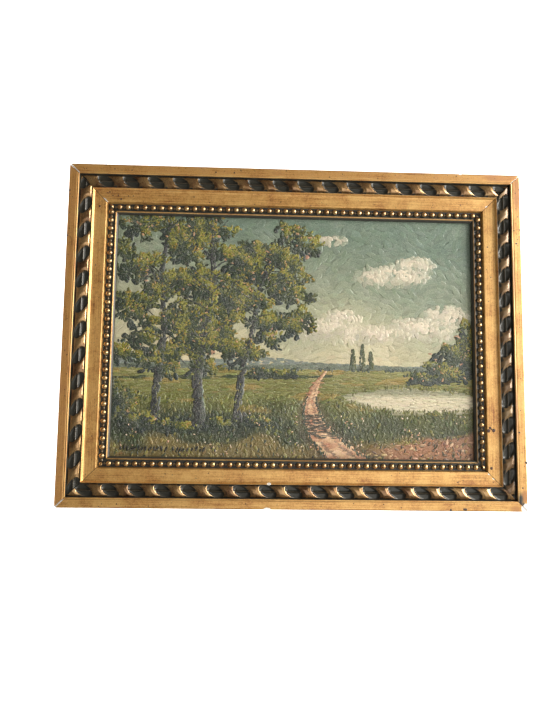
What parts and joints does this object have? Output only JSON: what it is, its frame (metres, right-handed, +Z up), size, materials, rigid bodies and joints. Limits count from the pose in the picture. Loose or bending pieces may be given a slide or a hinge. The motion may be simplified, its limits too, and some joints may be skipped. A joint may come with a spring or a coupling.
{
  "type": "framed oil painting",
  "caption": "Small landscape in oils on a panel, in a gilt moulded frame with carved ribbon and pearls, to hang on a wall.",
  "frame": {"origin": "centre of the back of the frame's top rail, where the picture lies on its wall", "axes": "+X to the right as seen from the front, +Y out of the back into the wall, +Z up"},
  "size_m": [0.432, 0.024, 0.32],
  "materials": {
    "gilding": "oil-gilt carved wood and composition on gesso, rubbed, dark in the recesses, with white chips at the mitres",
    "oil_paint": "oil landscape in thick strokes on a primed panel, under a worn satin varnish, bare at the back"
  },
  "bodies": {
    "root": {"rail_top": "gilding", "rail_right": "gilding", "rail_bottom": "gilding", "rail_left": "gilding", "painting": "oil_paint"}
  },
  "joints": []
}
